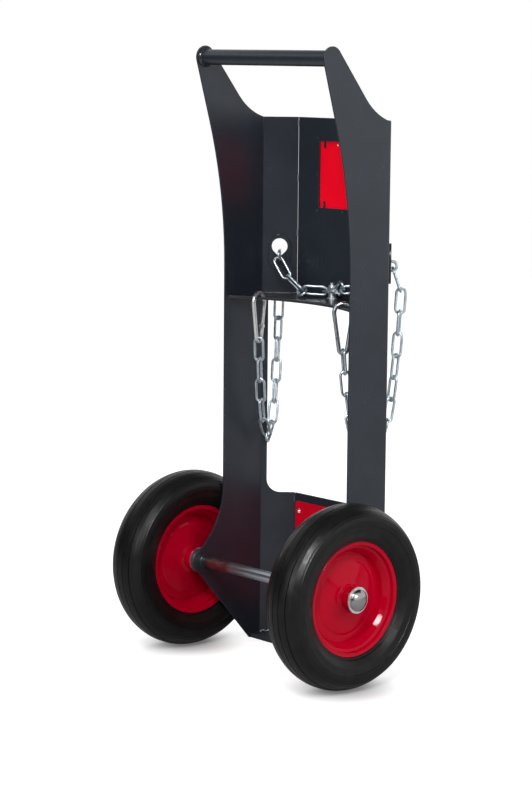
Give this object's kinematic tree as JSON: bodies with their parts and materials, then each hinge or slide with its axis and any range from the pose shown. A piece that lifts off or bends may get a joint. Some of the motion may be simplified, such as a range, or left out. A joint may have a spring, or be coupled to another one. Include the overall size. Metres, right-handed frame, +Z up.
{
  "type": "transformer trolley",
  "caption": "Upright wheeled load trolley: folded sheet body with cross handle, shelf, toe plate and keyhole flanges, retaining chains on snap hooks, large solid tyres on pressed rims.",
  "frame": {"origin": "on the floor under the middle of the trolley's bounding box", "axes": "+Z up, +X to the right of a user behind the handle, +Y forward to the load side"},
  "size_m": [0.612, 0.5199, 1.35],
  "materials": {
    "anthracite": "fine satin powder coat",
    "red_paint": "gloss paint",
    "tyre_rubber": "matt black rubber",
    "zinc": "bright zinc plating",
    "chrome": "bright",
    "bearing_plastic": "moulded cage"
  },
  "bodies": {
    "frame": {"left_side_sheet": "anthracite", "right_side_sheet": "anthracite", "upper_panel": "anthracite", "panel_stitch_welds": "anthracite", "upper_plate_rivets": "anthracite", "lower_panel": "anthracite", "shelf": "anthracite", "base_plate": "anthracite", "left_keyhole_doubler": "anthracite", "right_keyhole_doubler": "anthracite", "handle_tube": "anthracite", "handle_welds": "anthracite", "axle_welds": "anthracite", "axle_spacers": "anthracite", "upper_red_plate": "red_paint", "lower_red_plate": "red_paint", "lower_plate_screws": "zinc", "lower_plate_nuts": "zinc", "axle": "zinc", "inner_washers": "zinc", "outer_washers": "zinc", "anchor_bolt": "zinc", "anchor_washer": "zinc", "anchor_bush": "zinc", "anchor_strip": "zinc", "anchor_nut": "zinc", "left_inner_chain": "zinc", "right_inner_chain": "zinc", "hub_caps": "chrome"},
    "left_wheel": {"left_rim": "red_paint", "left_wheel_disc": "red_paint", "left_hub_tube": "red_paint", "left_tyre": "tyre_rubber", "left_roller_bearings": "bearing_plastic"},
    "right_wheel": {"right_rim": "red_paint", "right_wheel_disc": "red_paint", "right_hub_tube": "red_paint", "right_tyre": "tyre_rubber", "right_roller_bearings": "bearing_plastic"},
    "left_chain": {"left_chain_tail": "zinc", "left_hook_body": "zinc", "left_gate_rivet": "zinc"},
    "right_chain": {"right_chain_tail": "zinc", "right_hook_body": "zinc", "right_gate_rivet": "zinc"},
    "left_gate": {"left_hook_gate": "zinc", "left_gate_spring": "zinc"},
    "right_gate": {"right_hook_gate": "zinc", "right_gate_spring": "zinc"}
  },
  "joints": [
    {"name": "left_wheel_spin", "type": "hinge", "parent": "frame", "child": "left_wheel", "pos_m": [-0.2554, -0.06, 0.2], "axis": [1, 0, 0], "continuous": true},
    {"name": "left_chain_swing", "type": "hinge", "parent": "frame", "child": "left_chain", "pos_m": [-0.15887, 0.09383, 0.83023], "axis": [0.3151, -0.7194, -0.6191], "range_deg": [0, 8]},
    {"name": "left_gate_hinge", "type": "hinge", "parent": "left_chain", "child": "left_gate", "pos_m": [-0.13882, 0.05427, 0.73115], "axis": [0.9781, 0.2079, 0], "range_deg": [0, 25], "stiffness_Nm_per_rad": 0.04, "springref_deg": -20.05},
    {"name": "right_wheel_spin", "type": "hinge", "parent": "frame", "child": "right_wheel", "pos_m": [0.2554, -0.06, 0.2], "axis": [1, 0, 0], "continuous": true},
    {"name": "right_chain_swing", "type": "hinge", "parent": "frame", "child": "right_chain", "pos_m": [0.158, 0.09391, 0.83023], "axis": [0.3262, 0.716, 0.6172], "range_deg": [0, 8]},
    {"name": "right_gate_hinge", "type": "hinge", "parent": "right_chain", "child": "right_gate", "pos_m": [0.12694, 0.03268, 0.73115], "axis": [-0.788, 0.6157, 0], "range_deg": [0, 25], "stiffness_Nm_per_rad": 0.04, "springref_deg": -20.05}
  ]
}
